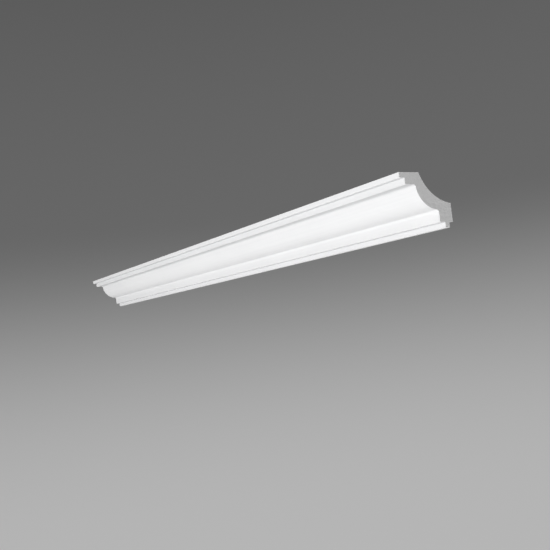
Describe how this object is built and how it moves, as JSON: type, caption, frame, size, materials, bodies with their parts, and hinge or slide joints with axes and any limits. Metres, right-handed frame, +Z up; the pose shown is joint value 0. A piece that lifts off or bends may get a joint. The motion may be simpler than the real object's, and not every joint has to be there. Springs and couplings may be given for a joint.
{
  "type": "cornice moulding length",
  "caption": "Straight length of white foam cornice moulding with stepped fillets, an ovolo, a fascia and a hollow back, cut square at its ends and glued between wall and ceiling.",
  "frame": {"origin": "middle of the narrow back face that is glued to the wall", "axes": "+X along the length, +Y out of the back towards the wall, +Z up towards the ceiling"},
  "size_m": [1.25, 0.08, 0.071],
  "materials": {
    "primed_foam": "white primer, satin, on a fine closed-cell foam that shows grey where it is cut"
  },
  "bodies": {
    "root": {"cornice_length": "primed_foam"}
  },
  "joints": []
}
